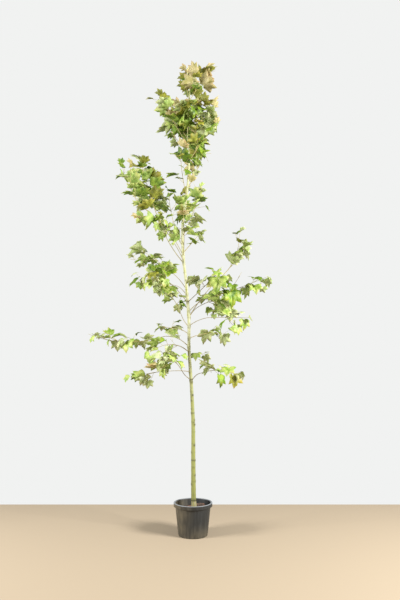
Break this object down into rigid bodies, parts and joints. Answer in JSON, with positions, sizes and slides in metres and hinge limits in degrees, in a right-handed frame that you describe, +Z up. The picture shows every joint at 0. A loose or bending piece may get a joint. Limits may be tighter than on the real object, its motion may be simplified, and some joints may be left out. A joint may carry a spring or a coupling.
{
  "type": "potted plane tree",
  "caption": "Young deciduous tree with one slim leaning trunk, an open crown of lobed leaves and a round grey nursery pot filled with compost.",
  "frame": {"origin": "middle of the pot's flat underside", "axes": "+Z up along the trunk, +X to the right and -Y towards the viewer in the picture"},
  "size_m": [1.3925, 0.915, 3.4693],
  "materials": {
    "pot_plastic": "matte moulded recycled plastic, dark grey with dusty olive-brown streaks",
    "compost": "dark crumbly peat-free compost with chips of bark",
    "bark": "smooth young bark, olive green below and cream to tan above, with ring scars",
    "foliage": "thin lobed leaves, dark green to lime with bronze tips, on slim green twigs"
  },
  "bodies": {
    "root": {"bough_high_left": "bark", "bough_high_left_front": "bark", "bough_high_left_inner": "bark", "bough_high_left_outer": "bark", "bough_low_back": "bark", "bough_low_front": "bark", "bough_low_left": "bark", "bough_low_left_back": "bark", "bough_low_left_front": "bark", "bough_low_right": "bark", "bough_mid_left_back": "bark", "bough_mid_left_front": "bark", "bough_mid_left_high": "bark", "bough_mid_left_low": "bark", "bough_right_back": "bark", "bough_right_front": "bark", "bough_right_low": "bark", "bough_right_outer": "bark", "bough_right_upper": "bark", "compost": "compost", "leaves_high_left": "foliage", "leaves_high_left_front": "foliage", "leaves_high_left_inner": "foliage", "leaves_high_left_outer": "foliage", "leaves_low_back": "foliage", "leaves_low_front": "foliage", "leaves_low_left": "foliage", "leaves_low_left_back": "foliage", "leaves_low_left_front": "foliage", "leaves_low_left_mid": "foliage", "leaves_low_right": "foliage", "leaves_mid_back": "foliage", "leaves_mid_front": "foliage", "leaves_mid_left_back": "foliage", "leaves_mid_left_front": "foliage", "leaves_mid_left_high": "foliage", "leaves_mid_left_low": "foliage", "leaves_mid_right": "foliage", "leaves_mid_right_back": "foliage", "leaves_right_back": "foliage", "leaves_right_front": "foliage", "leaves_right_low": "foliage", "leaves_right_outer": "foliage", "leaves_right_upper": "foliage", "leaves_top_left": "foliage", "leaves_top_right": "foliage", "leaves_trunk_tuft": "foliage", "leaves_upper_back": "foliage", "leaves_upper_front": "foliage", "leaves_upper_left": "foliage", "leaves_upper_left_back": "foliage", "leaves_upper_left_low": "foliage", "leaves_upper_mid_left": "foliage", "leaves_upper_mid_right": "foliage", "leaves_upper_right": "foliage", "leaves_upper_right_low": "foliage", "pot": "pot_plastic", "trunk": "bark"}
  },
  "joints": []
}
